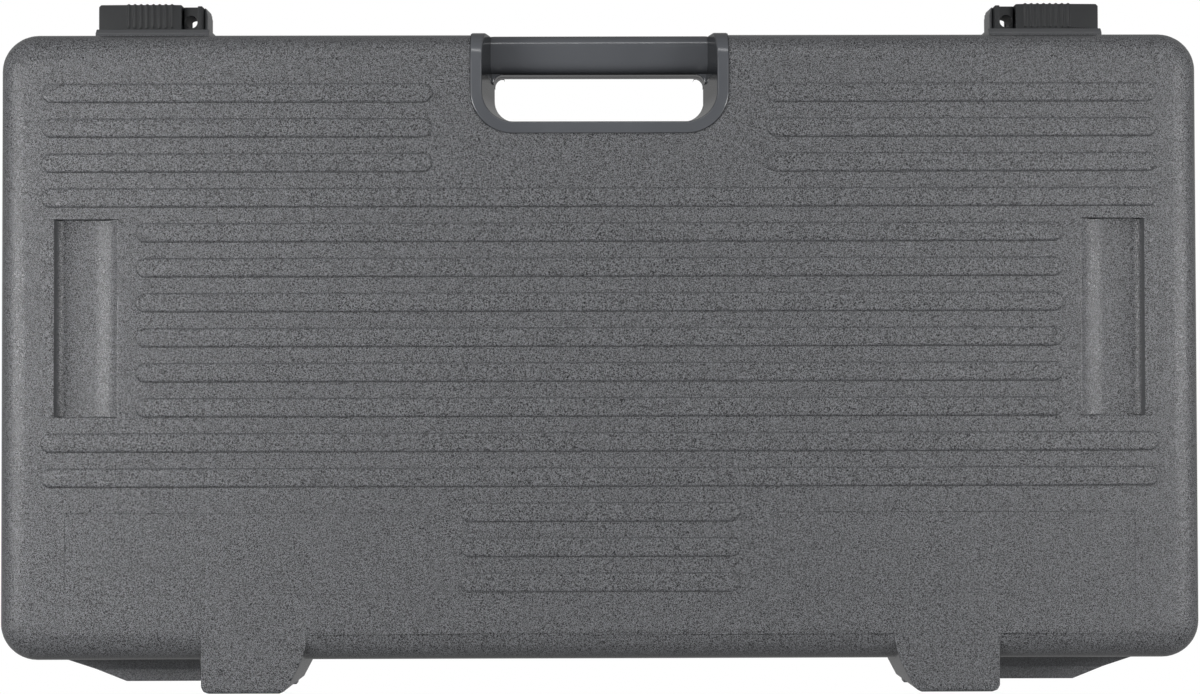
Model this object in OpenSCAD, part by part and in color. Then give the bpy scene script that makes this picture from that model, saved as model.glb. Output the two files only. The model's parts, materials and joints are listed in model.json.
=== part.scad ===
// Guitar pedal case: two blow-moulded shells hinged at the rear, with slide latches and a grip in
// front. The case lies on its feet, +Z up through the lid. The origin is under the middle of its
// bounding box, the handle faces -Y and the hinges are at +Y. "Left" pieces lie at +X.

/* [Case] */
// Width of the shells at the parting line
case_w = 675; // [480:1:820]
// Depth of the shells at the parting line, front to rear
case_d = 354; // [300:1:440]
// Depth of the lid half
lid_h = 46; // [38:0.5:70]
// Depth of the base half
base_h = 79; // [66:0.5:110]
// Wall thickness of both shells
wall = 3.2; // [2:0.1:4]
// Plan radius of the shell corners at the parting line
corner_r = 22.5; // [22:0.5:40]
// Radius of the lid's top edge
lid_fillet = 17; // [10:0.5:18]
// Radius of the base's bottom edge
base_fillet = 13; // [8:0.5:16]
// Draft of the lid walls, in degrees
lid_draft = 3; // [1:0.5:6]
// Draft of the base walls, in degrees
base_draft = 3; // [1:0.5:4]

/* [Ribs and pockets] */
// Width of a rib at its foot
rib_w = 10.8; // [6:0.1:14]
// Height of a rib
rib_h = 1.2; // [0.5:0.1:2]
// Width of a rib's sloping side, seen from above
rib_side = 0.6; // [0.3:0.1:2]
// Spacing of the rib rows
rib_pitch = 19.45; // [16:0.05:22]
// Length of the rear side pockets, front to rear
pocket_l = 110; // [80:1:130]
// Depth of the side pockets
pocket_h = 6; // [3:0.5:8]
// Depth of the bare panels
panel_h = 0.4; // [0.2:0.1:1]

/* [Handle] */
// Width of the finger opening at the parting line
grip_gap_w = 120.6; // [100:0.5:150]
// Finger room behind the grip bar
grip_gap_d = 26; // [22:0.5:32]
// Thickness of the grip bar, front to rear
grip_d = 21; // [16:0.5:26]
// How far the grip bar stands in front of the shells
grip_out = 1.2; // [0:0.1:3]
// Height of the grip bar, both halves together
grip_h = 30; // [24:0.5:40]
// Wall of the handle moulding
handle_wall = 3; // [2:0.1:4]
// How far the handle's lip reaches over the shell
lip_w = 6.7; // [5:0.1:9]
// How far the lip stands proud of the shell
lip_h = 1.2; // [0.6:0.1:2]

/* [Latches] */
// Distance from the centre to the middle of a latch
latch_x = 261.3; // [200:0.1:280]
// Length of a sliding latch
slider_l = 47; // [40:0.5:60]
// How far a latch stands in front of its pad
slider_d = 14.4; // [13:0.1:18]
// Height of a latch
slider_h = 36; // [34:0.5:44]
// Travel of a latch
slide_travel = 12; // [8:0.5:14]
// Radius of the padlock hole
eye_r = 3.4; // [2:0.1:3.6]

/* [Hinges] */
// Distance from the centre to the middle of a hinge
hinge_x = 197.5; // [160:0.5:210]
// Length of a hinge knuckle on the base
knuckle_l = 39.4; // [30:0.2:50]
// Radius of the hinge pins
pin_r = 2.45; // [1.5:0.05:3]

/* [Inside] */
// Thickness of the pedal mat
mat_h = 12; // [6:0.5:20]
// Thickness of the lid foam
foam_h = 16; // [8:0.5:24]
// Length of the junction box
box_l = 190; // [150:1:240]
// Height of the junction box
box_h = 36; // [30:0.5:50]

/* [Feet] */
// Height of the rubber feet
foot_h = 5; // [3:0.5:12]
// Radius of the rubber feet
foot_r = 12; // [8:0.5:18]

/* [Hidden] */
$fn = 64;
gap = 0.3;                               // clearance between bodies
seat = 0.15;                             // clearance between pieces that are fastened together
part_z = foot_h + base_h;                // height of the parting plane
top_z = part_z + lid_h;
half_w = case_w / 2;
half_d = case_d / 2;
lid_slope = tan(lid_draft);
base_slope = tan(base_draft);

// Rib rows, counted from the front; the long rows above and below the pockets span the whole face
face_x = half_w - 27;                    // end of the longest ribs
pocket_out = half_w - 34.5;              // outer side of a pocket
pocket_in = pocket_out - 35;             // inner side of a pocket
pocket_y = -half_d + 106.5;              // front end of a pocket
short_x = pocket_in - 10;                // end of the ribs between the pockets
rib_y0 = -half_d + 36.2;                 // first row

// Handle: the finger opening widens away from the parting plane
handle_slope = 0.113;
base_handle_slope = 0.05;
gap_r = 12;                              // corner radius of the opening at the parting plane
gap_back = -half_d + grip_d + grip_gap_d;
grip_r = 7;                              // edge radius of the grip bar
lip_in_w = grip_gap_w / 2 + handle_slope * lid_h;   // half width of the opening at the lid's face
inner_rib_x = lip_in_w + lip_w + 21;     // inner end of the front ribs

// Hinges
pin_bore = pin_r + 0.05;
knuckle_r = pin_r + 3.85;
cheek_r = knuckle_r + 0.7;
cheek_w = 3.6;
hinge_y = half_d + knuckle_r + 2.6;
hinge_z = part_z - 2;
hood_y = hinge_y + cheek_r;              // rear face of the hinge hoods
hood_out = hinge_x + knuckle_l / 2 + cheek_w + gap + 0.4;
hood_in = hinge_x - knuckle_l / 2 - gap;
hood_wall = 3.4;

// Rear bumpers, level with the hinge hoods so that the case also stands on its rear
bumper_in = hood_out + 10;
bumper_flat = bumper_in + 43;
bumper_out = bumper_flat + 40;
bumper_top = part_z - 4;                 // at the wall
bumper_drop = 8;                         // fall from there to the flat part

// Latches
pad_d = 3;                               // how far the latch pads stand proud
pad_y = -half_d - pad_d;
pad_in = latch_x - slider_l / 2 - 17;
pad_out = latch_x + slider_l / 2;
slider_y1 = pad_y - 0.6;                 // rear face of a slider
slider_y0 = slider_y1 - slider_d;
slider_z0 = part_z - slider_h / 2;
slider_z1 = part_z + slider_h / 2;
run = 0.4;                               // running clearance of a slider on its rail
rail_neck = [part_z - 10, part_z - 4.2]; // heights of the rail's neck
rail_head = [part_z - 13.5, part_z - 0.6];
rail_y = slider_y1 - 6;                  // rear face of the rail's head
rail_head_d = 3.8;
peg_w = 5;
peg_z = [part_z + 7.5, part_z + 12.5];
peg_x = [-11, 13];                       // places of the pegs, from the latch's middle
peg_d = 4;
eye_l = 11.2;                            // length of the padlock eye block
eye_post = 2.6;                          // end post of that block
eye_edge = 0.9;                          // material between the post and the padlock hole
plate_t = 2.2;                           // thickness of the rail's plate on the base's pad
plate_y = pad_y - seat - plate_t;        // front face of that plate
plate_z = [slider_z0 + 1, part_z - 0.6];
rail_screw_z = slider_z0 + 4.5;
rail_screw_r = 1.45;
eye_x0 = latch_x - slider_l / 2 - run - eye_l;
bracket_t = 1.8;                         // thickness of the bracket beside the eye

// The bounding box runs from the ridges of the latches to the hinge hoods
ridge_r = 0.9;
ridge_sunk = 0.3;                        // how deep a ridge's axis lies under the slider's face
centre_y = -(hood_y + slider_y0 + ridge_sunk - ridge_r) / 2;

// Inside
base_floor = foot_h + wall;
mat_w = case_w - 46;
mat_y0 = gap_back + handle_wall + 12;
mat_y1 = half_d - 72;
foam_w = 2 * (pocket_in - 10);
box_d = 52;
box_y = half_d - 16 - box_d;             // front face of the junction box
box_x = 150;                             // middle of the junction box
box_wall = 2.5;
jack_x = [-66, -40, -14, 12];
dc_x = [40, 58, 76];
jack_z = base_floor + box_h * 0.52;
jack_r = 4.6;
foot_x = half_w - 55;
foot_y = half_d - 42;
foot_screw_r = 1.9;

grey = "#66676b";
smooth_grey = "#626467";
black = "#34383b";
steel = "#b9bbbd";

// ---------------------------------------------------------------- helpers

// Section of a drafted wall with a rounded far edge, measured out from the corner's centre
module wall_section(r, slope, h, f) {
    a = atan(slope);
    xc = r - slope * (h - f) - f / cos(a);
    polygon([[0, 0], [r, 0], [xc + f * cos(a), h - f + f * sin(a)], [xc, h - f], [xc, h], [0, h]]);
    intersection() {
        translate([xc, h - f]) circle(f);
        translate([xc, h - f]) square(f);
    }
}

// Drafted half shell as a solid: it stands on z = 0 and narrows upwards
module drafted_block(hw, hd, r, slope, h, f) {
    lx = hw - r;
    ly = hd - r;
    translate([-lx, -ly, 0]) cube([2 * lx, 2 * ly, h]);
    for (s = [-1, 1]) {
        translate([lx * s, 0, 0]) rotate([90, 0, 0]) linear_extrude(2 * ly, center = true)
            mirror([s < 0 ? 1 : 0, 0]) wall_section(r, slope, h, f);
        translate([0, ly * s, 0]) rotate([90, 0, 90]) linear_extrude(2 * lx, center = true)
            mirror([s < 0 ? 1 : 0, 0]) wall_section(r, slope, h, f);
    }
    for (q = [[1, 1, 0], [-1, 1, 90], [-1, -1, 180], [1, -1, 270]])
        translate([lx * q[0], ly * q[1], 0]) rotate(q[2]) rotate_extrude(angle = 90)
            wall_section(r, slope, h, f);
}

module lid_block(grow = 0) {
    translate([0, 0, part_z])
        drafted_block(half_w + grow, half_d + grow, corner_r + grow, lid_slope, lid_h + grow,
                      lid_fillet + grow);
}

module base_block(grow = 0) {
    translate([0, 0, part_z]) mirror([0, 0, 1])
        drafted_block(half_w + grow, half_d + grow, corner_r + grow, base_slope, base_h + grow,
                      base_fillet + grow);
}

// Keeps what lies above or below the parting plane, half the clearance away from it
module above_parting() {
    translate([-case_w, -case_w, part_z + gap / 2]) cube([2 * case_w, 2 * case_w, 2 * lid_h]);
}

module below_parting() {
    translate([-case_w, -case_w, -1]) cube([2 * case_w, 2 * case_w, part_z - gap / 2 + 1]);
}

// Plan of the handle opening at one level, open to the front
module opening_plan(grow, r) {
    hw = grip_gap_w / 2 + grow;
    yb = gap_back + grow;
    y0 = -half_d - 10;
    translate([-hw, y0]) square([2 * hw, yb - r - y0]);
    for (s = [-1, 1]) translate([s * (hw - r), yb - r]) circle(r, $fn = 48);
}

// The opening grows by slope with height
module handle_opening(grow, slope, h) {
    t = 0.01;
    hull() {
        linear_extrude(t) opening_plan(grow, gap_r + grow);
        translate([0, 0, h - t]) linear_extrude(t)
            opening_plan(grow + slope * h, gap_r + grow + slope * h);
    }
}

// Straight-sided plan of the handle's lip
module lip_plan() {
    hw = lip_in_w + lip_w;
    r = gap_r + handle_slope * lid_h + lip_w;
    yb = gap_back + handle_slope * lid_h + lip_w;
    y0 = -half_d - 10;
    translate([-hw, y0]) square([2 * hw, yb - r - y0]);
    translate([-hw + r, y0]) square([2 * (hw - r), yb - y0]);
    for (s = [-1, 1]) translate([s * (hw - r), yb - r]) circle(r);
}

module at_both_sides() {
    children();
    mirror([1, 0, 0]) children();
}

// ---------------------------------------------------------------- lid

// One raised rib with drafted sides and round ends
module rib(x0, x1, y) {
    top_w = rib_w - 2 * rib_side;
    r = rib_w / 2;
    translate([0, y, top_z]) {
        translate([x0 + r, 0, 0]) rotate([90, 0, 90]) linear_extrude(x1 - x0 - rib_w)
            polygon([[-r, 0], [r, 0], [top_w / 2, rib_h], [-top_w / 2, rib_h]]);
        for (x = [x0 + r, x1 - r]) translate([x, 0, 0])
            cylinder(h = rib_h, r1 = r, r2 = top_w / 2);
    }
}

function row_y(i) = rib_y0 + i * rib_pitch;

module ribs() {
    for (i = [0:2]) at_both_sides() rib(inner_rib_x, face_x, row_y(i));
    for (i = [3, 10, 11]) rib(-face_x, face_x, row_y(i));
    for (i = [4:9]) rib(-short_x, short_x, row_y(i));
    for (i = [12:14]) rib(-inner_rib_x + 15.5, inner_rib_x - 15.5, row_y(i));
}

// Recess of a side pocket: steep outer side, soft ramp on the inner side
module pocket_recess() {
    translate([0, pocket_y, top_z + 1]) rotate([90, 0, 0]) mirror([0, 0, 1])
        linear_extrude(pocket_l)
            polygon([[pocket_in, 0], [pocket_out, 0], [pocket_out, -1],
                     [pocket_out - 1.6, -1 - pocket_h], [pocket_in + 7.5, -1 - pocket_h],
                     [pocket_in, -1]]);
}

// Thickening under a pocket, so that its floor keeps the wall's thickness
module pocket_backing() {
    translate([pocket_in - wall, pocket_y - wall, top_z - pocket_h - wall])
        cube([pocket_out - pocket_in + 2 * wall, pocket_l + 2 * wall, pocket_h + wall - 0.5]);
}

// Raised margin along the outer side of a pocket
module pocket_margin() {
    w = 8.2;
    r = 5;
    translate([pocket_out, pocket_y, top_z]) linear_extrude(0.6) {
        translate([0, r]) square([w, pocket_l - 2 * r]);
        square([w - r, pocket_l]);
        for (y = [r, pocket_l - r]) translate([w - r, y]) circle(r);
    }
}

module panel_recess() {
    translate([96, row_y(12) + 0.3, top_z - panel_h]) cube([201, 45, 1]);
}

// Plan of a hinge hood. Its slanted side stands further out by grow.
module hood_plan(grow) {
    r = 4;
    polygon([[hood_in - 14.5 - grow, half_d - 22], [hood_in - 14.5 - grow, half_d - 12],
             [hood_in - 11 - grow, half_d - 1], [hood_in - 4.5 - grow, hood_y - 4.5],
             [hood_in - 1.5 - grow / 2, hood_y - 1.2], [hood_in + 1, hood_y],
             [hood_out - r, hood_y], [hood_out - r / 3, hood_y - r / 3],
             [hood_out, hood_y - r], [hood_out, half_d - 22]]);
}

// Outside of a hinge hood, flush with the lid's face, and its cheeks round the hinge pin
module hood_solid() {
    flare = 3;
    hull() {
        translate([0, 0, part_z + gap / 2]) linear_extrude(1) hood_plan(flare);
        translate([0, 0, part_z + lid_h - 1]) linear_extrude(1) hood_plan(0);
    }
    for (x = [hood_in - cheek_w, hood_out - cheek_w]) {
        translate([x, hinge_y, hinge_z]) rotate([0, 90, 0]) cylinder(h = cheek_w, r = cheek_r);
        translate([x, hinge_y, hinge_z]) cube([cheek_w, cheek_r, part_z - hinge_z + 4]);
    }
}

// Room inside a hood for the base's knuckle
module hood_room() {
    x1 = hood_out - cheek_w;
    translate([hood_in, half_d, hinge_z - 20])
        cube([x1 - hood_in, hood_y - hood_wall - half_d, top_z - hood_wall - hinge_z + 20]);
    translate([hood_in, half_d, hinge_z - 20]) cube([x1 - hood_in, 40, 28]);
    translate([hood_in - 40, hinge_y, hinge_z]) rotate([0, 90, 0]) cylinder(h = 100, r = pin_bore);
}

// Rounds the rear top edge of a hood
module hood_edge() {
    r = 3;
    translate([hood_in - 20, hood_y - r, top_z - r]) difference() {
        cube([80, r + 1, r + 1]);
        translate([-1, 0, 0]) rotate([0, 90, 0]) cylinder(h = 90, r = r);
    }
}

module latch_pad(z0, z1) {
    c = 2.5;
    translate([pad_in, 0, 0]) rotate([90, 0, 90]) linear_extrude(pad_out - pad_in)
        polygon([[pad_y, z0], [pad_y, z1 - c], [pad_y + c, z1], [-half_d + 14, z1],
                 [-half_d + 14, z0]]);
}

// Bayonet slots in the lid's pad: a peg enters from below and then slides outwards
module peg_slots() {
    c = 0.5;
    for (x = peg_x) translate([latch_x + x - peg_w / 2 - c, pad_y - 1, part_z - 1]) {
        cube([peg_w + 2 * c, peg_d + 1, peg_z[1] + c - part_z + 1]);
        translate([0, 0, peg_z[0] - c - part_z + 1])
            cube([peg_w + 2 * c + slide_travel, peg_d + 1, peg_z[1] - peg_z[0] + 2 * c]);
    }
}

module lid_shell() {
    color(grey) difference() {
        union() {
            difference() {
                union() {
                    intersection() {
                        union() {
                            lid_block();
                            at_both_sides() latch_pad(part_z, part_z + 27);
                        }
                        above_parting();
                    }
                    at_both_sides() hood_solid();
                }
                lid_block(-wall);
                at_both_sides() {
                    hood_room();
                    hood_edge();
                    peg_slots();
                }
            }
            ribs();
            at_both_sides() {
                pocket_backing();
                pocket_margin();
            }
        }
        at_both_sides() {
            pocket_recess();
            panel_recess();
        }
        translate([0, 0, part_z]) handle_opening(handle_wall + seat, handle_slope, lid_h + 3);
    }
}

// ---------------------------------------------------------------- base

// Rear bumper: it slopes down from the wall to a flat part, and runs out to the side
module bumper() {
    intersection() {
        rotate([90, 0, 90]) linear_extrude(case_w)
            polygon([[half_d - 10, bumper_top], [half_d, bumper_top],
                     [hood_y - 7, bumper_top - bumper_drop], [hood_y, bumper_top - bumper_drop],
                     [hood_y, foot_h + 14], [half_d - 8, foot_h + 6]]);
        linear_extrude(part_z)
            polygon([[bumper_in, 0], [bumper_in, hood_y], [bumper_flat, hood_y],
                     [bumper_out, half_d], [bumper_out, 0]]);
    }
}

module knuckle() {
    translate([hinge_x - knuckle_l / 2, hinge_y, hinge_z]) rotate([0, 90, 0])
        cylinder(h = knuckle_l, r = knuckle_r);
    translate([hinge_x - knuckle_l / 2, half_d - 2, hinge_z - knuckle_r])
        cube([knuckle_l, hinge_y - half_d + 2, knuckle_r + 1.2]);
}

// Bracket beside the padlock eye, with a slanted front corner
module latch_bracket() {
    x1 = eye_x0 - seat;
    z0 = part_z - 8;
    difference() {
        translate([0, 0, z0]) linear_extrude(part_z + 10 - z0)
            polygon([[x1 - bracket_t, -half_d + 2], [x1, -half_d + 2], [x1, slider_y0 + 0.5],
                     [x1 - 0.8, slider_y0 + 0.5], [x1 - bracket_t, slider_y0 + 5]]);
        translate([x1 - 20, slider_y1, part_z - gap / 2]) cube([40, 40, 40]);
    }
}

// Places of a rail's screws, on the front face of its plate
module rail_screw_places() {
    for (x = [eye_x0 + eye_l / 2, latch_x + 10])
        translate([x, plate_y, rail_screw_z]) rotate([-90, 0, 0]) children();
}

module base_shell() {
    color(grey) difference() {
        union() {
            difference() {
                union() {
                    intersection() {
                        union() {
                            base_block();
                            at_both_sides() translate([0, 0, 2 * part_z]) mirror([0, 0, 1])
                                latch_pad(part_z, part_z + 27);
                        }
                        below_parting();
                    }
                    at_both_sides() {
                        bumper();
                        knuckle();
                    }
                }
                base_block(-wall);
            }
            at_both_sides() latch_bracket();
        }
        at_both_sides() {
            translate([hinge_x - 40, hinge_y, hinge_z]) rotate([0, 90, 0])
                cylinder(h = 80, r = pin_bore);
            rail_screw_places() cylinder(h = 8, r = rail_screw_r + 0.05);
        }
        foot_places() translate([0, 0, foot_h - 1])
            cylinder(h = wall + 2, r = foot_screw_r + 0.05);
        translate([0, 0, part_z]) mirror([0, 0, 1])
            handle_opening(handle_wall + seat, base_handle_slope, base_h + 3);
    }
}

// ---------------------------------------------------------------- handle

// One half of the grip bar, from the parting plane out
module grip_half() {
    l = grip_gap_w + 2;
    y0 = -half_d - grip_out;
    y1 = -half_d + grip_d;
    rotate([90, 0, 90]) linear_extrude(l, center = true) intersection() {
        union() {
            translate([y0, -grip_h / 2 + grip_r]) square([y1 - y0, grip_h - 2 * grip_r]);
            translate([y0 + grip_r, -grip_h / 2]) square([y1 - y0 - 2 * grip_r, grip_h]);
            for (y = [y0 + grip_r, y1 - grip_r], z = [-1, 1])
                translate([y, z * (grip_h / 2 - grip_r)]) circle(grip_r);
        }
        translate([y0 - 1, gap / 2]) square([y1 - y0 + 2, grip_h]);
    }
    r = 5;
    for (s = [-1, 1]) translate([s * (grip_gap_w / 2), -half_d + grip_d, gap / 2])
        linear_extrude(grip_h / 2 - 5) difference() {
            translate([s < 0 ? -1 : -r, -1]) square([r + 1, r + 1]);
            translate([-s * r, r]) circle(r);
        }
}

// Wall round the finger opening, its lip over the shell, and half the grip bar. The children are
// the shell grown by the lip's height, and the shell itself.
module handle_half(slope, h) {
    difference() {
        intersection() {
            union() {
                handle_opening(handle_wall, slope, h + lip_h + 2);
                difference() {
                    linear_extrude(h + lip_h + 2) lip_plan();
                    children(1);
                }
            }
            children(0);
        }
        translate([0, 0, -1]) handle_opening(-slope, slope, h + lip_h + 6);
    }
    grip_half();
}

module lid_handle_half() {
    color(smooth_grey) intersection() {
        translate([0, 0, part_z]) handle_half(handle_slope, lid_h) {
            translate([0, 0, -part_z]) lid_block(lip_h);
            translate([0, 0, -part_z]) lid_block(0);
        }
        above_parting();
    }
}

module base_handle_half() {
    color(smooth_grey) intersection() {
        translate([0, 0, part_z]) mirror([0, 0, 1]) handle_half(base_handle_slope, base_h) {
            mirror([0, 0, 1]) translate([0, 0, -part_z]) base_block(lip_h);
            mirror([0, 0, 1]) translate([0, 0, -part_z]) base_block(0);
        }
        below_parting();
    }
}

// ---------------------------------------------------------------- latches

// Finger ridges over the top and down the front of a slider
module ridges() {
    pitch = 3.5;
    y = slider_y0 + ridge_sunk;
    z = slider_z1 - ridge_sunk;
    for (i = [0:7]) translate([latch_x - 18 + i * pitch, y, 0]) {
        translate([0, 0, z]) rotate([-90, 0, 0])
            cylinder(h = slider_d - 1.5, r = ridge_r, $fn = 24);
        translate([0, 0, slider_z0 + 2]) cylinder(h = z - slider_z0 - 2, r = ridge_r, $fn = 24);
        translate([0, 0, z]) sphere(ridge_r, $fn = 24);
    }
}

module slider() {
    x0 = latch_x - slider_l / 2;
    x1 = latch_x + slider_l / 2;
    c = 1.2;
    difference() {
        union() {
            translate([0, 0, slider_z0]) linear_extrude(slider_h)
                polygon([[x0, slider_y0], [x1 - c, slider_y0], [x1, slider_y0 + c], [x1, slider_y1],
                         [x0, slider_y1]]);
            ridges();
            for (x = peg_x) translate([latch_x + x - peg_w / 2, slider_y1 - 1, peg_z[0]])
                cube([peg_w, peg_d + 1, peg_z[1] - peg_z[0]]);
        }
        translate([x0 - 1, rail_y - rail_head_d - run, rail_head[0] - run])
            cube([slider_l - 2, rail_head_d + 2 * run, rail_head[1] - rail_head[0] + 2 * run]);
        translate([x0 - 1, rail_y, rail_neck[0] - run])
            cube([slider_l - 2, 20, rail_neck[1] - rail_neck[0] + 2 * run]);
        translate([x0 - 1, slider_y0 + 3, part_z + 3.5])
            cube([slider_l - 2, slider_d - 6.5, slider_h / 2 - 6.5]);
        translate([x0 - 1, plate_y - run, slider_z0 - 1])
            cube([slider_l + 2, 20, plate_z[1] + run - slider_z0 + 1]);
    }
}

module latch_slider_left() {
    color(black) slider();
}

module latch_slider_right() {
    color(black) mirror([1, 0, 0]) slider();
}

// Fixed rail of a latch: a plate screwed to the base's pad, the T-shaped rail that the slider runs
// on, and beside it the padlock eye, a sunk ledge with an end post
module latch_rail() {
    rail_x0 = latch_x - slider_l / 2 + 1;
    rail_l = slider_l - 5.5;
    ledge_z = [part_z - 5, slider_z1 - 5];
    difference() {
        union() {
            translate([eye_x0, plate_y, plate_z[0]])
                cube([pad_out - 1 - eye_x0, plate_t, plate_z[1] - plate_z[0]]);
            translate([rail_x0, rail_y - 1, rail_neck[0]])
                cube([rail_l, plate_y - rail_y + 1.5, rail_neck[1] - rail_neck[0]]);
            translate([rail_x0, rail_y - rail_head_d, rail_head[0]])
                cube([rail_l, rail_head_d, rail_head[1] - rail_head[0]]);
            translate([eye_x0, slider_y0 + 0.5, ledge_z[0]])
                cube([eye_l, slider_y1 - slider_y0 - 0.5, ledge_z[1] - ledge_z[0]]);
            translate([eye_x0, slider_y0 + 0.5, slider_z0 + 1])
                cube([eye_post, slider_y1 - slider_y0 - 0.5, slider_h - 2]);
        }
        translate([eye_x0 + eye_post + eye_edge + eye_r, slider_y0 + 9, 0])
            cylinder(h = 2 * part_z, r = eye_r);
        rail_screw_places() {
            translate([0, 0, -1]) cylinder(h = 8, r = rail_screw_r + 0.05);
            translate([0, 0, -1]) cylinder(h = 2.3, r = 2.75);
        }
    }
}

module latch_rail_left() {
    color(black) latch_rail();
}

module latch_rail_right() {
    color(black) mirror([1, 0, 0]) latch_rail();
}

// Flush screws that hold the rails on the base
module latch_rail_screws() {
    color(steel) at_both_sides() rail_screw_places() difference() {
        union() {
            translate([0, 0, 0.1]) cylinder(h = 1.2, r = 2.65);
            cylinder(h = 7.6, r = rail_screw_r);
        }
        translate([-2, -0.4, -1]) cube([4, 0.8, 1.7]);
        translate([-0.4, -2, -1]) cube([0.8, 4, 1.7]);
    }
}

// ---------------------------------------------------------------- hinge pins

module hinge_pin() {
    inset = 0.4;
    translate([hood_in - cheek_w + inset, hinge_y, hinge_z]) rotate([0, 90, 0])
        cylinder(h = hood_out - hood_in + cheek_w - 2 * inset, r = pin_r);
}

module hinge_pin_left() {
    color(steel) hinge_pin();
}

module hinge_pin_right() {
    color(steel) mirror([1, 0, 0]) hinge_pin();
}

// ---------------------------------------------------------------- feet

module foot_places() {
    for (x = [-1, 1], y = [-1, 1]) translate([x * foot_x, y * foot_y, 0]) children();
}

module rubber_foot(x, y) {
    color("#1d1e1f") translate([x * foot_x, y * foot_y, 0]) difference() {
        union() {
            cylinder(h = foot_h - 1.5, r1 = foot_r - 1.2, r2 = foot_r);
            translate([0, 0, foot_h - 1.5]) cylinder(h = 1.5, r = foot_r);
        }
        translate([0, 0, -1]) cylinder(h = foot_h + 2, r = foot_screw_r + 0.05);
        translate([0, 0, -1]) cylinder(h = 3.2, r = 4.4);
    }
}

// One screw per foot: its head sits in the foot, its thread goes through the base's floor
module foot_screws() {
    color(steel) foot_places() {
        translate([0, 0, 0.5]) difference() {
            cylinder(h = 1.6, r = 3.9);
            translate([-3, -0.5, -1]) cube([6, 1, 1.7]);
            translate([-0.5, -3, -1]) cube([1, 6, 1.7]);
        }
        translate([0, 0, 2]) cylinder(h = foot_h + wall, r = foot_screw_r);
        translate([0, 0, base_floor + 0.05]) difference() {
            cylinder(h = 2.4, r = 3.6, $fn = 6);
            translate([0, 0, -1]) cylinder(h = 5, r = foot_screw_r - 0.05);
        }
    }
}

// ---------------------------------------------------------------- soft inside

module rounded_plate(w, d, h, r) {
    linear_extrude(h) {
        square([w - 2 * r, d], center = true);
        square([w, d - 2 * r], center = true);
        for (x = [-1, 1], y = [-1, 1]) translate([x * (w / 2 - r), y * (d / 2 - r)]) circle(r);
    }
}

module lid_foam() {
    y0 = mat_y0;
    y1 = half_d - 24;
    color("#3a3c3e") translate([0, (y0 + y1) / 2, top_z - wall - foam_h - gap / 2])
        rounded_plate(foam_w, y1 - y0, foam_h, 12);
}

module pedal_mat() {
    color("#2b2c2e") translate([0, (mat_y0 + mat_y1) / 2, base_floor + seat])
        rounded_plate(mat_w, mat_y1 - mat_y0, mat_h, 12);
}

// ---------------------------------------------------------------- junction box

module at_box() {
    translate([box_x, box_y, base_floor + seat]) children();
}

module cover_screw_places() {
    for (x = [-1, 1], y = [0, 1])
        translate([x * (box_l / 2 - 6), 6 + y * (box_d - 12), box_h - 2]) children();
}

module junction_box_housing() {
    color(black) at_box() difference() {
        union() {
            difference() {
                translate([-box_l / 2, 0, 0]) cube([box_l, box_d, box_h - 2 - seat]);
                translate([-box_l / 2 + box_wall, box_wall, box_wall])
                    cube([box_l - 2 * box_wall, box_d - 2 * box_wall, box_h]);
            }
            cover_screw_places() translate([0, 0, -12 - seat]) cylinder(h = 12, r = 4);
        }
        cover_screw_places() translate([0, 0, -10]) cylinder(h = 20, r = 1.25);
        for (x = jack_x) translate([x, -1, jack_z - base_floor]) rotate([-90, 0, 0])
            cylinder(h = box_wall + 2, r = jack_r + 0.05);
        for (x = dc_x) translate([x, -1, jack_z - base_floor]) rotate([-90, 0, 0])
            cylinder(h = box_wall + 2, r = 4.05);
    }
}

module junction_box_cover() {
    color("#2f3234") at_box() difference() {
        translate([-box_l / 2, 0, box_h - 2]) cube([box_l, box_d, 2]);
        cover_screw_places() translate([0, 0, -1]) cylinder(h = 5, r = 1.45);
    }
}

module junction_box_screws() {
    color(steel) at_box() cover_screw_places() {
        translate([0, 0, -8]) cylinder(h = 10, r = 1.2);
        translate([0, 0, 2 + 0.05]) difference() {
            cylinder(h = 1.5, r = 2.6);
            translate([-2, -0.4, 0.8]) cube([4, 0.8, 2]);
            translate([-0.4, -2, 0.8]) cube([0.8, 4, 2]);
        }
    }
}

// Panel jack: a threaded bush through the housing's front, with its body behind
module jack(x) {
    color("#24272a") translate([box_x + x, box_y, jack_z + seat]) rotate([-90, 0, 0]) difference() {
        union() {
            translate([0, 0, -5]) cylinder(h = 5 + box_wall + seat, r = jack_r);
            translate([-8, -8, box_wall + seat]) cube([16, 16, 22]);
        }
        translate([0, 0, -6]) cylinder(h = 24, r = 3.2);
    }
}

module jack_nuts() {
    color(steel) for (x = jack_x) translate([box_x + x, box_y, jack_z + seat]) rotate([-90, 0, 0])
        translate([0, 0, -2.2 - seat]) difference() {
            cylinder(h = 2.2, r = 7.4, $fn = 6);
            translate([0, 0, -1]) cylinder(h = 5, r = jack_r + 0.05);
        }
}

// Barrel power socket pressed into the housing's front
module power_socket(x) {
    color("#1b1d1f") translate([box_x + x, box_y, jack_z + seat]) rotate([-90, 0, 0]) {
        difference() {
            union() {
                translate([0, 0, -1.2 - seat]) cylinder(h = 1.2, r = 5.6);
                translate([0, 0, -0.5 - seat]) cylinder(h = box_wall + 12, r = 4);
            }
            translate([0, 0, -3]) cylinder(h = 12, r = 2.75);
        }
        translate([0, 0, -0.6]) cylinder(h = 10, r = 1.05);
    }
}

// Moves a piece so that the origin is under the middle of the bounding box
module place() {
    translate([0, centre_y, 0]) children();
}

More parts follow.
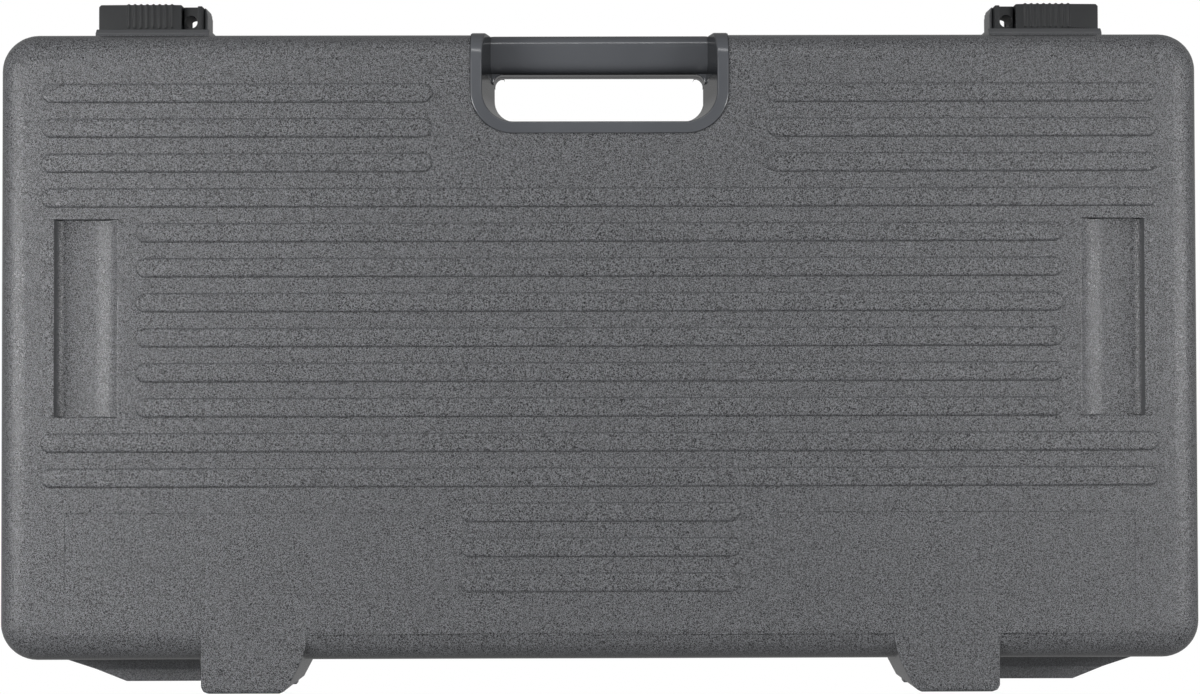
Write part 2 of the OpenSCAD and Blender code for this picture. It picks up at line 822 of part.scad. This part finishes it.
place() lid_shell();
place() base_shell();
place() lid_handle_half();
place() base_handle_half();
place() latch_slider_left();
place() latch_slider_right();
place() latch_rail_left();
place() latch_rail_right();
place() hinge_pin_left();
place() hinge_pin_right();
place() rubber_foot(1, -1);  // rubber_foot_front_left
place() rubber_foot(-1, -1);  // rubber_foot_front_right
place() rubber_foot(1, 1);  // rubber_foot_rear_left
place() rubber_foot(-1, 1);  // rubber_foot_rear_right
place() foot_screws();
place() latch_rail_screws();
place() lid_foam();
place() pedal_mat();
place() junction_box_housing();
place() junction_box_cover();
place() junction_box_screws();
place() jack(jack_x[0]);  // input_jack
place() jack(jack_x[1]);  // output_jack
place() jack(jack_x[2]);  // send_jack
place() jack(jack_x[3]);  // return_jack
place() jack_nuts();
place() power_socket(dc_x[0]);  // power_socket_1
place() power_socket(dc_x[1]);  // power_socket_2
place() power_socket(dc_x[2]);  // power_socket_3
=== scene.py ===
"""Looks of the guitar pedal case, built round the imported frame.

Lengths are metres in the part's own frame: Z up, the handle towards -Y, the floor at Z = 0."""

import json
import math

import bmesh
import bpy
from mathutils import Matrix, Vector


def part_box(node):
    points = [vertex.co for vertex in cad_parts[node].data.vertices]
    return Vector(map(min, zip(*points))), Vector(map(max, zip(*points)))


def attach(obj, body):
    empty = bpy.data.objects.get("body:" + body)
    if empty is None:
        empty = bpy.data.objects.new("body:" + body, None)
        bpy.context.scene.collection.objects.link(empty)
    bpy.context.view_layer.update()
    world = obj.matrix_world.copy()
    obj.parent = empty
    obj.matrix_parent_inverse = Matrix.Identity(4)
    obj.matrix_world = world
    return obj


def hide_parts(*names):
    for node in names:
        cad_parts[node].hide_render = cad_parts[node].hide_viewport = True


MM = 0.001
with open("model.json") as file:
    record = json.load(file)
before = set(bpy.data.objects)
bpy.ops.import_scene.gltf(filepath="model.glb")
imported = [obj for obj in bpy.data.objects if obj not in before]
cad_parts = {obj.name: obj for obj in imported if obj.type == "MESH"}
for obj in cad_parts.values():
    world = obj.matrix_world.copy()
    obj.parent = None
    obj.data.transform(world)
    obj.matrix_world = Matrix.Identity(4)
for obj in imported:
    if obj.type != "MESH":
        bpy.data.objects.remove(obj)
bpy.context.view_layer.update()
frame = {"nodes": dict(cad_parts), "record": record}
nodes = frame["nodes"]
bpy.ops.object.select_all(action="DESELECT")


def srgb(r, g, b):
    """Linear colour of an 8-bit sRGB colour."""

    def channel(v):
        v /= 255
        return v / 12.92 if v <= 0.04045 else ((v + 0.055) / 1.055) ** 2.4

    return (channel(r), channel(g), channel(b), 1.0)


# ------------------------------------------------------------------ camera and light

PHOTO_WIDTH = 1200
SENSOR = 36.0
FOCAL_PX = 2213.4  # focal length in pixels of the photograph

camera_data = bpy.data.cameras.new("camera")
camera_data.sensor_width = SENSOR
camera_data.lens = FOCAL_PX / PHOTO_WIDTH * SENSOR
camera_data.clip_start = 0.01
camera = bpy.data.objects.new("camera", camera_data)
bpy.context.scene.collection.objects.link(camera)
bpy.context.scene.camera = camera
CAMERA_PLACE = Vector((7.4, 27.1, 1360.0)) * MM
CAMERA_TILT = [math.radians(a) for a in (-1.156, 0.338, 0.13)]
turn = Matrix(((-1, 0, 0), (0, -1, 0), (0, 0, 1)))
for axis, angle in zip("ZYX", reversed(CAMERA_TILT)):
    turn = Matrix.Rotation(angle, 3, axis) @ turn
camera.matrix_world = Matrix.Translation(CAMERA_PLACE) @ turn.transposed().to_4x4()


def softbox(name, place, aim, size, watts):
    """A soft rectangular lamp at place, turned towards aim."""
    data = bpy.data.lights.new(name, "AREA")
    data.shape = "RECTANGLE"
    data.size, data.size_y = size
    data.energy = watts
    lamp = bpy.data.objects.new(name, data)
    bpy.context.scene.collection.objects.link(lamp)
    lamp.location = place
    lamp.rotation_euler = (Vector(aim) - Vector(place)).to_track_quat("-Z", "Y").to_euler()


SIDE_STRIP = (0.15, 1.1)
OVERHEAD_PANEL = (0.5, 1.1)
FRONT_STRIP = (2.4, 0.22)
REAR_PANEL = (2.4, 0.6)

softbox("left_softbox", (1.14, -0.05, 0.96), (0.3, 0, 0.1), SIDE_STRIP, 12.5)
softbox("right_softbox", (-1.14, -0.05, 0.92), (-0.3, 0, 0.1), SIDE_STRIP, 9.5)
softbox("left_overhead", (1.0, -0.3, 1.45), (0.2, 0, 0.1), OVERHEAD_PANEL, 3)
softbox("right_overhead", (-1.0, -0.3, 1.45), (-0.2, 0, 0.1), OVERHEAD_PANEL, 2.2)
softbox("front_softbox", (0, -1.4, 1.2), (0, 0, 0.1), FRONT_STRIP, 9)
softbox("rear_softbox", (0, 1.5, 1.3), (0, 0, 0.1), REAR_PANEL, 3)

# ------------------------------------------------------------------ shader tools


class Socket:
    """A shader socket that takes part in Python expressions."""

    def __init__(self, shader, socket):
        self.shader = shader
        self.socket = socket

    def _math(self, operation, *values):
        return self.shader.node("ShaderNodeMath", {"operation": operation}, dict(enumerate(values)))

    def __add__(self, other):
        return self._math("ADD", self, other)

    def __radd__(self, other):
        return self._math("ADD", other, self)

    def __sub__(self, other):
        return self._math("SUBTRACT", self, other)

    def __rsub__(self, other):
        return self._math("SUBTRACT", other, self)

    def __mul__(self, other):
        return self._math("MULTIPLY", self, other)

    def __rmul__(self, other):
        return self._math("MULTIPLY", other, self)

    def most(self, other):
        """The larger of both values."""
        return self._math("MAXIMUM", self, other)

    def absolute(self):
        """The value without its sign."""
        return self._math("ABSOLUTE", self)

    def ramp(self, low, high):
        """Rises smoothly from 0, where the value is low, to 1, where it is high."""
        return self.shader.node(
            "ShaderNodeMapRange",
            {"interpolation_type": "SMOOTHSTEP"},
            {"Value": self, "From Min": low, "From Max": high},
        )


class Shader:
    """One material and the nodes in it."""

    def __init__(self, name):
        self.material = bpy.data.materials.new(name)
        self.material.use_nodes = True
        self.tree = self.material.node_tree
        self.tree.nodes.clear()
        self.output = self.tree.nodes.new("ShaderNodeOutputMaterial")
        coordinates = self.tree.nodes.new("ShaderNodeTexCoord")
        self.place = Socket(self, coordinates.outputs["Object"])

    def node(self, kind, settings=None, inputs=None, output=0):
        """Adds a node: its settings first, then the values or links of its sockets."""
        item = self.tree.nodes.new(kind)
        for key, value in (settings or {}).items():
            setattr(item, key, value)
        for key, value in (inputs or {}).items():
            self.feed(item.inputs[key], value)
        return Socket(self, item.outputs[output])

    def feed(self, target, value):
        """Links a socket to the target, or sets the target's own value."""
        if isinstance(value, Socket):
            self.tree.links.new(value.socket, target)
        else:
            target.default_value = value

    def mix(self, factor, first, second):
        """Mixes two colours."""
        return self.node(
            "ShaderNodeMix", {"data_type": "RGBA"}, {0: factor, 6: first, 7: second}, output=2
        )

    def noise(self, scale, detail=2.0, roughness=0.5, distortion=0.0, vector=None):
        """Cloudy pattern with scale cells a metre."""
        return self.node(
            "ShaderNodeTexNoise",
            {},
            {
                "Vector": vector or self.place,
                "Scale": scale,
                "Detail": detail,
                "Roughness": roughness,
                "Distortion": distortion,
            },
        )

    def stretch(self, scale):
        """The object coordinates, scaled along each axis."""
        return self.node("ShaderNodeMapping", {}, {"Vector": self.place, "Scale": scale})

    def axis(self, index):
        """One coordinate of the object's place, in metres."""
        return self.node("ShaderNodeSeparateXYZ", {}, {"Vector": self.place}, output=index)

    def facing(self, index):
        """One component of the surface's normal, in the piece's own frame."""
        normal = self.node("ShaderNodeTexCoord", output=1)
        return self.node("ShaderNodeSeparateXYZ", {}, {"Vector": normal}, output=index)

    def bump(self, height, distance, strength=1.0):
        """The surface's normal, roughened by a height from 0 to 1 that stands for the distance."""
        return self.node(
            "ShaderNodeBump", {}, {"Height": height, "Distance": distance, "Strength": strength}
        )

    def finish(self, **inputs):
        """Puts the principled shader in front of the output, and gives back the material."""
        sockets = {name.replace("_", " "): value for name, value in inputs.items()}
        shader = self.node("ShaderNodeBsdfPrincipled", {}, sockets)
        self.tree.links.new(shader.socket, self.output.inputs["Surface"])
        return self.material


# ------------------------------------------------------------------ materials

LATCH_PAD_RISE = 3 * MM
FRONT_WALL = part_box("lid_shell")[0][1] + LATCH_PAD_RISE  # the latch pads stand in front of it


def grained_plastic(name, pits, tops, walls):
    """Blow-moulded plastic with a wormy pebble grain, which upright walls and latch pads lack. The
    walls colour on upright walls is painted shade, and the latch pads take it too; the grain's dark
    pits and light crests are its own tone together with painted shade and painted glints.
    """
    s = Shader(name)
    pebbles = s.noise(2200, detail=1.0, distortion=0.6)
    worms = s.noise(1550, detail=0.0, distortion=1.4)
    height = pebbles * 0.6 + worms * 0.4
    # steep faces lose the grain and take the walls colour as painted shade
    level = s.facing(2).absolute().ramp(0.3, 0.85)
    grained = level * s.axis(1).ramp(FRONT_WALL, FRONT_WALL + 2 * MM)
    # crest lightens the grain's crests and darkens its pits: the grain's own tone with painted glints
    # and painted shade
    crest = height.ramp(0.43, 0.57)
    return s.finish(
        Base_Color=s.mix(grained, walls, s.mix(crest, pits, tops)),
        Roughness=0.24 - crest * 0.08,
        Normal=s.bump(height.ramp(0.34, 0.66) * grained, 0.08 * MM),
        IOR=1.5,
    )


def smooth_plastic(name, color, light_color, rough, scuffs=0.09, upright=None):
    """Injection-moulded plastic with a satin gloss, faint flow marks and scuffs.

    upright, if given, is painted shade: a darker colour on steep walls, which fades into the tint as
    faces turn level."""
    s = Shader(name)
    tone = s.noise(14, detail=3.0).ramp(0.3, 0.7)
    fine = s.noise(1500, detail=1.0)
    wear = s.noise(60, detail=4.0, roughness=0.7).ramp(0.56, 0.72)
    tint = s.mix(tone, color, light_color)
    if upright:
        # painted shade: steep faces take the upright colour
        tint = s.mix(s.facing(2).absolute().ramp(0.1, 0.95), upright, tint)
    return s.finish(
        Base_Color=tint,
        Roughness=rough + wear * scuffs + fine * 0.04,
        Normal=s.bump(fine, 0.03 * MM, 0.6),
        IOR=1.5,
    )


def zinc_steel(name):
    """Zinc-plated steel with fine lines along X."""
    s = Shader(name)
    lines = s.noise(1.0, detail=3.0, vector=s.stretch((90, 1800, 1800)))
    return s.finish(
        Base_Color=s.mix(lines, srgb(150, 151, 150), srgb(196, 197, 198)),
        Roughness=0.24 + lines * 0.2,
        Metallic=1.0,
        Normal=s.bump(lines, 0.04 * MM, 0.5),
    )


def open_foam(name):
    """Dark open-cell foam, with painted light on its cell walls and painted shade in its cells."""
    s = Shader(name)
    cells = s.node("ShaderNodeTexVoronoi", {}, {"Vector": s.place, "Scale": 620.0})
    cloud = s.noise(40, detail=4.0)
    height = cells * 0.8 + cloud * 0.2
    return s.finish(
        # painted shade in the cells, painted light on the cell walls
        Base_Color=s.mix(cells.ramp(0.1, 0.55), srgb(30, 31, 33), srgb(74, 76, 79)),
        Roughness=0.92,
        Normal=s.bump(height, 0.8 * MM, 0.9),
        Specular_IOR_Level=0.15,
    )


def needle_felt(name):
    """Dark felt whose fibres run both ways."""
    s = Shader(name)
    fibres = s.noise(1.0, detail=5.0, roughness=0.7, distortion=1.4, vector=s.stretch((900, 260, 500)))
    cross = s.noise(1.0, detail=4.0, roughness=0.7, distortion=1.2, vector=s.stretch((240, 860, 500)))
    height = fibres.most(cross)
    return s.finish(
        Base_Color=s.mix(height.ramp(0.42, 0.75), srgb(27, 27, 29), srgb(78, 79, 82)),
        Roughness=0.95,
        Normal=s.bump(height, 0.9 * MM, 0.9),
        Specular_IOR_Level=0.12,
    )


def rubber(name):
    """Matt black rubber with a little dust."""
    s = Shader(name)
    grain = s.noise(900, detail=2.0)
    dust = s.noise(120, detail=4.0, roughness=0.7).ramp(0.55, 0.8)
    return s.finish(
        Base_Color=s.mix(dust, srgb(26, 26, 27), srgb(52, 51, 50)),
        Roughness=0.72 + grain * 0.12,
        Normal=s.bump(grain, 0.08 * MM, 0.7),
    )


# pits and tops carry painted shade and painted glints besides the grain's own tone; walls is painted
# shade on upright faces
SHELL = grained_plastic("shell_grain", srgb(20, 21, 23), srgb(115, 116, 119), srgb(70, 71, 73))
BASE = grained_plastic("base_grain", srgb(60, 61, 63), srgb(100, 101, 104), srgb(74, 75, 77))
HANDLE = smooth_plastic(
    "handle_satin",
    srgb(78, 80, 84),
    srgb(85, 87, 91),
    rough=0.14,
    scuffs=0.02,
    # upright: painted shade on the handle's steep faces, such as the grip's rear
    upright=srgb(36, 37, 39),
)
LATCH = smooth_plastic("latch_satin", srgb(9, 12, 15), srgb(13, 16, 19), rough=0.42)
BOX = smooth_plastic("box_black", srgb(34, 35, 37), srgb(42, 43, 45), rough=0.5)
STEEL = zinc_steel("zinc_steel")
FOAM = open_foam("lid_foam")
FELT = needle_felt("mat_felt")
RUBBER = rubber("foot_rubber")

# ------------------------------------------------------------------ modelling tools


def pick(piece):
    """Makes the piece the only selected object, and the active one."""
    bpy.ops.object.select_all(action="DESELECT")
    bpy.context.view_layer.objects.active = piece
    piece.select_set(True)


def open_for_edit(piece):
    """Takes the piece into edit mode and gives back its mesh there."""
    pick(piece)
    bpy.ops.object.mode_set(mode="EDIT")
    return bmesh.from_edit_mesh(piece.data)


def apply_all(piece):
    """Applies every modifier of the piece."""
    pick(piece)
    for modifier in list(piece.modifiers):
        bpy.ops.object.modifier_apply(modifier=modifier.name)


def smooth(piece, degrees):
    """Shades the piece smooth, except across edges that are sharper than this angle."""
    pick(piece)
    bpy.ops.object.shade_smooth_by_angle(angle=math.radians(degrees))


def body_of(node):
    """The name of the body that the node rides on."""
    for body, members in frame["record"]["behaviour"]["bodies"].items():
        if node in members:
            return body
    raise ValueError(node)


def keep_inside(piece, box):
    """Moves the points that a bevel's mitre left just outside the CAD piece's box onto its sides."""
    low, high = box
    for vertex in piece.data.vertices:
        vertex.co = [min(max(vertex.co[i], low[i]), high[i]) for i in range(3)]


MERGE = 0.02 * MM
FLAT_ANGLE = math.radians(0.6)
CORNER_ANGLE = math.radians(28)
SMOOTH_DEGREES = 40
EDGE_SEGMENTS = 3
FACE_AREA_WEIGHT = 90


def clean_copy(node, material):
    """A copy of a CAD piece as merged points and even triangles, still in edit mode, and its mesh."""
    pick(nodes[node])
    bpy.ops.object.duplicate()
    piece = bpy.context.object
    piece.name = node + "_moulded"
    piece.data.name = piece.name
    piece.data.materials.clear()
    piece.data.materials.append(material)
    open_for_edit(piece)
    bpy.ops.mesh.customdata_custom_splitnormals_clear()
    bpy.ops.mesh.select_all(action="SELECT")
    bpy.ops.mesh.remove_doubles(threshold=MERGE)
    bpy.ops.mesh.dissolve_limited(angle_limit=FLAT_ANGLE)
    bpy.ops.mesh.quads_convert_to_tris(quad_method="BEAUTY", ngon_method="BEAUTY")
    return piece, bmesh.from_edit_mesh(piece.data)


def weigh_corners(mesh, radius):
    """Gives each corner edge its share of the widest radius, which it gives back."""
    weights = mesh.edges.layers.float.new("bevel_weight_edge")
    corners = [e for e in mesh.edges if e.is_manifold and e.calc_face_angle() > CORNER_ANGLE]
    radii = [radius(edge) for edge in corners]
    widest = max(radii)
    for edge, size in zip(corners, radii):
        edge[weights] = size / widest
    return widest


def moulded(node, material, radius, reshape=None):
    """Replaces a CAD piece by a copy with softly rounded edges, as it leaves a mould.

    radius is a number, or a function that gives one for an edge. reshape changes the mesh first."""
    piece, mesh = clean_copy(node, material)
    if reshape:
        reshape(mesh)
    widest = weigh_corners(mesh, radius if callable(radius) else lambda edge: radius)
    bmesh.update_edit_mesh(piece.data)
    bpy.ops.object.mode_set(mode="OBJECT")
    round_edges = piece.modifiers.new("round_edges", "BEVEL")
    round_edges.width = widest
    round_edges.segments = EDGE_SEGMENTS
    round_edges.limit_method = "WEIGHT"
    round_edges.use_clamp_overlap = False
    round_edges.loop_slide = False
    round_edges.miter_outer = "MITER_ARC"
    apply_all(piece)
    smooth(piece, SMOOTH_DEGREES)
    even_normals = piece.modifiers.new("even_normals", "WEIGHTED_NORMAL")
    even_normals.keep_sharp = True
    even_normals.weight = FACE_AREA_WEIGHT
    apply_all(piece)
    keep_inside(piece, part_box(node))
    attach(piece, body_of(node))
    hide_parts(node)


# ------------------------------------------------------------------ shells

STEEL_PIECES = {
    "latch_rail_screws",
    "hinge_pin_left",
    "hinge_pin_right",
    "junction_box_screws",
    "foot_screws",
    "jack_nuts",
}


def finish_of(node):
    """The finish of a CAD piece, by its name."""
    if node in STEEL_PIECES:
        return STEEL
    if node.startswith("latch"):
        return LATCH
    if node.startswith("rubber"):
        return RUBBER
    return BOX


for node_name, node_object in nodes.items():
    node_object.data.materials.clear()
    node_object.data.materials.append(finish_of(node_name))

RIB_RISE = 1.2 * MM
CREST_DEPTH = 0.3 * MM
FOOT_DEPTH = 1.6 * MM
POCKET_DEPTH = 6 * MM
RIB_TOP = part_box("lid_shell")[1][2]
POCKET_FLOOR = RIB_TOP - RIB_RISE - POCKET_DEPTH
POCKET_INNER_X = 250 * MM  # both pockets lie further out than this
POCKET_MIDDLE_X = 283 * MM
LONG_EDGE = 60 * MM
SHELL_EDGE = 0.45 * MM
CREST_EDGE = 0.95 * MM
POCKET_RAMP_EDGE = 6 * MM
POCKET_WALL_EDGE = 4 * MM


def lid_radius(edge):
    """Wide along the pockets and on the ribs' crests, none in the crease along the ribs' feet."""
    ends = [end.co for end in edge.verts]
    low = min(end.z for end in ends)
    along = abs(ends[0].y - ends[1].y)
    in_pocket = all(
        abs(end.z - POCKET_FLOOR) < 0.1 * MM and abs(end.x) > POCKET_INNER_X for end in ends
    )
    if in_pocket and along > LONG_EDGE:
        return POCKET_RAMP_EDGE if abs(ends[0].x) < POCKET_MIDDLE_X else POCKET_WALL_EDGE
    if low > RIB_TOP - CREST_DEPTH:
        return CREST_EDGE
    if low > RIB_TOP - FOOT_DEPTH and not edge.is_convex:
        return 0
    return SHELL_EDGE


moulded("lid_shell", SHELL, lid_radius)
moulded("base_shell", BASE, 0.6 * MM)

# ------------------------------------------------------------------ handle and latches

GRIP_END = 61.3 * MM
GRIP_BACK = -144.5 * MM
GRIP_SEAT = 93 * MM  # up to here the bar is one with the walls
GRIP_REACH = 1.5 * MM


def lip_radius(edge):
    """The lip's own edges are round; the corners where the grip bar meets the walls stay sharp."""
    return 0.9 * MM if edge.is_convex else 0


def reach_walls(mesh):
    """Above its seat the grip bar stops short of the sloping walls; its ends are drawn into them."""
    for vertex in mesh.verts:
        at_end = abs(abs(vertex.co.x) - GRIP_END) < 0.05 * MM
        if at_end and vertex.co.y < GRIP_BACK and vertex.co.z > GRIP_SEAT:
            vertex.co.x += math.copysign(GRIP_REACH, vertex.co.x)


moulded("lid_handle_half", HANDLE, lip_radius, reshape=reach_walls)
moulded("base_handle_half", HANDLE, 0.5 * MM)
for latch in ("latch_slider_left", "latch_slider_right", "latch_rail_left", "latch_rail_right"):
    moulded(latch, LATCH, 0.35 * MM)

# ------------------------------------------------------------------ foam and mat


def slab(node, material, columns, rows, shape):
    """Replaces a CAD node by a padded sheet in the same space.

    shape(u, v, top) gives two depths at the point u, v of the sheet, both from -1 to 1: how far its
    sides are pulled in, and how far its surface lies inside the node's box."""
    low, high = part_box(node)
    middle = (Vector(low) + Vector(high)) / 2
    half = (Vector(high) - Vector(low)) / 2
    bpy.ops.mesh.primitive_grid_add(x_subdivisions=columns, y_subdivisions=rows, size=2)
    piece = bpy.context.object
    piece.name = node + "_padded"
    piece.data.name = piece.name
    mesh = open_for_edit(piece)
    back = bmesh.ops.duplicate(mesh, geom=mesh.verts[:] + mesh.edges[:] + mesh.faces[:])
    back_faces = [item for item in back["geom"] if isinstance(item, bmesh.types.BMFace)]
    back_points = {item for item in back["geom"] if isinstance(item, bmesh.types.BMVert)}
    bmesh.ops.reverse_faces(mesh, faces=back_faces)
    for point in mesh.verts:
        u, v = point.co.x, point.co.y
        top = point not in back_points
        pull, depth = shape(u, v, top)
        point.co.x = middle.x + u * (half.x - pull)
        point.co.y = middle.y + v * (half.y - pull)
        point.co.z = high[2] - depth if top else low[2] + depth
    rims = [edge for edge in mesh.edges if edge.is_boundary]
    bmesh.ops.bridge_loops(mesh, edges=rims)
    bmesh.update_edit_mesh(piece.data)
    bpy.ops.mesh.select_all(action="SELECT")
    bpy.ops.mesh.normals_make_consistent(inside=False)
    bpy.ops.object.mode_set(mode="OBJECT")
    piece.data.materials.append(material)
    smooth(piece, 50)
    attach(piece, body_of(node))
    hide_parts(node)


def rounded_rim(u, v, radius_u, radius_v):
    """0 inside the sheet and up to 1 at its very edge, as a quarter round with these radii."""
    near_u = max(0, 1 - (1 - abs(u)) / radius_u)
    near_v = max(0, 1 - (1 - abs(v)) / radius_v)
    near = min(1, math.hypot(near_u, near_v))
    return 1 - math.sqrt(1 - near**2)


FOAM_PITCH = 26 * MM
FOAM_VALLEY = 8 * MM
WAVE_STEPS = 8
MAT_COLUMNS = 200
MAT_ROWS = 80
MAT_RIM = 5 * MM
MAT_DENT = 0.35 * MM

foam_low, foam_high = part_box("lid_foam")
FOAM_WAVES_X = round((foam_high[0] - foam_low[0]) / FOAM_PITCH)
FOAM_WAVES_Y = round((foam_high[1] - foam_low[1]) / FOAM_PITCH)


def foam_shape(u, v, top):
    """Flat where it is glued to the lid, egg-crate waves towards the pedals."""
    if top:
        return 0.4 * MM, 0
    wave = math.cos(u * math.pi * FOAM_WAVES_X) * math.cos(v * math.pi * FOAM_WAVES_Y)
    pull = 1.2 * MM * (1 - (u * v) ** 2)
    return pull, FOAM_VALLEY * (0.5 - 0.5 * wave)


def mat_shape(u, v, top):
    """A felt mat with a soft round edge and a few shallow dents of pedals that stood on it."""
    if not top:
        return 0.6 * MM, 0
    rim = rounded_rim(u, v, 0.02, 0.06)
    dents = math.sin(u * 9.3 + 0.7) * math.sin(v * 3.1 + 0.4) + 1
    return 1.0 * MM * (1 - (u * v) ** 2), rim * MAT_RIM + dents * MAT_DENT


slab("lid_foam", FOAM, FOAM_WAVES_X * WAVE_STEPS, FOAM_WAVES_Y * WAVE_STEPS, foam_shape)
slab("pedal_mat", FELT, MAT_COLUMNS, MAT_ROWS, mat_shape)

# ------------------------------------------------------------------ floor and world

WHITE = (1, 1, 1, 1)
FLOOR_SIZE = 12
FLOOR_GREY = (0.4, 0.4, 0.4, 1)
FLOOR_MIRRORED = 0.3  # strength of the floor's glow as the case's own gloss shows it
AMBIENT = 0.22


def backdrop_floor():
    """A floor that the camera sees as pure white, and that lights the case as a grey one."""
    bpy.ops.mesh.primitive_plane_add(size=FLOOR_SIZE, location=(0, 0, 0))
    floor = bpy.context.object
    floor.name = "floor"
    s = Shader("floor_white")
    path = s.tree.nodes.new("ShaderNodeLightPath")
    seen = Socket(s, path.outputs["Is Camera Ray"])
    glossy = Socket(s, path.outputs["Is Glossy Ray"])
    mirrored = glossy.most(Socket(s, path.outputs["Is Transmission Ray"]))
    strength = seen.most(mirrored * FLOOR_MIRRORED)
    matte = s.node("ShaderNodeBsdfDiffuse", {}, {"Color": FLOOR_GREY})
    glow = s.node("ShaderNodeEmission", {}, {"Color": WHITE, "Strength": strength})
    mixed = s.node("ShaderNodeMixShader", {}, {0: seen.most(mirrored), 1: matte, 2: glow})
    s.tree.links.new(mixed.socket, s.output.inputs["Surface"])
    floor.data.materials.append(s.material)


def studio_world():
    """White behind the case, and a dim even light on it."""
    world = bpy.data.worlds.new("studio")
    world.use_nodes = True
    bpy.context.scene.world = world
    tree = world.node_tree
    tree.nodes["Background"].inputs["Color"].default_value = WHITE
    path = tree.nodes.new("ShaderNodeLightPath")
    switch = tree.nodes.new("ShaderNodeMapRange")
    switch.inputs["To Min"].default_value = AMBIENT
    switch.inputs["To Max"].default_value = 1.0
    tree.links.new(path.outputs["Is Camera Ray"], switch.inputs["Value"])
    tree.links.new(switch.outputs["Result"], tree.nodes["Background"].inputs["Strength"])


backdrop_floor()
studio_world()
bpy.context.scene.view_settings.view_transform = "Standard"
